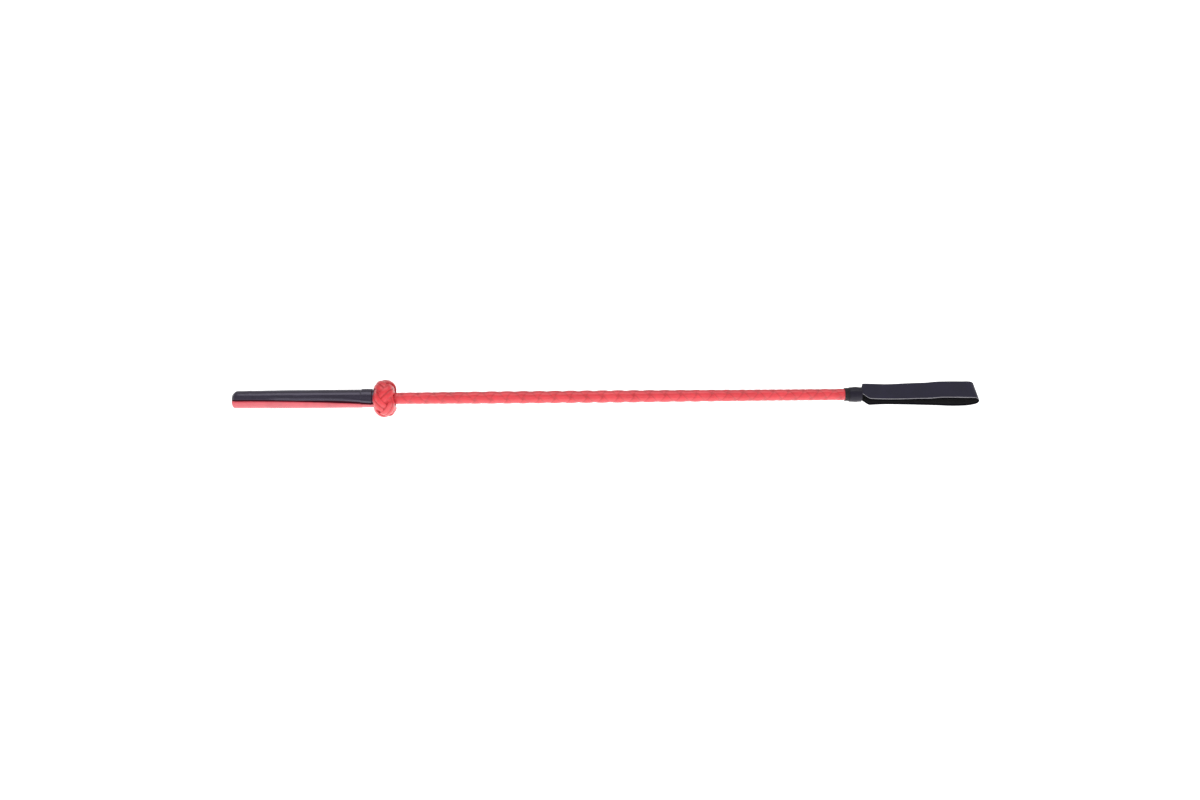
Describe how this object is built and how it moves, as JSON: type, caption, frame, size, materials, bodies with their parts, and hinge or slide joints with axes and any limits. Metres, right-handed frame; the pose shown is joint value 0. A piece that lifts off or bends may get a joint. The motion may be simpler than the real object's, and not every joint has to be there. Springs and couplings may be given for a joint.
{
  "type": "riding crop",
  "caption": "Short riding crop: padded two-colour leather handle, Turk's head knot, plaited leather shaft, and a folded leather flap that bends where its keeper ends.",
  "frame": {"origin": "centre of the flat face of the butt", "axes": "+X along the stick from the butt to the flap's fold, +Z square to the flap's leaves, +Y across the flap"},
  "size_m": [0.65, 0.033, 0.033],
  "materials": {
    "black_leather": "smooth, semi-gloss",
    "red_leather": "smooth, satin",
    "thread": "waxed thread",
    "fibreglass": "ground",
    "handle_wood": "turned, unfinished",
    "padding": "felt",
    "knot_base": "raw"
  },
  "bodies": {
    "stick": {"core_rod": "fibreglass", "handle_core": "handle_wood", "grip_padding": "padding", "butt_disc": "black_leather", "grip_panel_black": "black_leather", "grip_panel_red": "red_leather", "knot_strand": "red_leather", "knot_foundation": "knot_base", "plait_strand_1": "red_leather", "plait_strand_2": "red_leather", "plait_strand_3": "red_leather", "plait_strand_4": "red_leather", "whipping_at_knot": "thread", "whipping_at_tip": "thread", "keeper_wrap": "black_leather", "flap_tail_upper": "black_leather", "flap_tail_lower": "black_leather"},
    "flap": {"flap_loop": "black_leather"}
  },
  "joints": [
    {"name": "flap_flex", "type": "hinge", "parent": "stick", "child": "flap", "pos_m": [0.55, 0, 0], "axis": [0, 1, 0], "range_deg": [-45, 45], "stiffness_Nm_per_rad": 0.1, "deforming": ["flap_tail_upper", "flap_tail_lower"]}
  ]
}
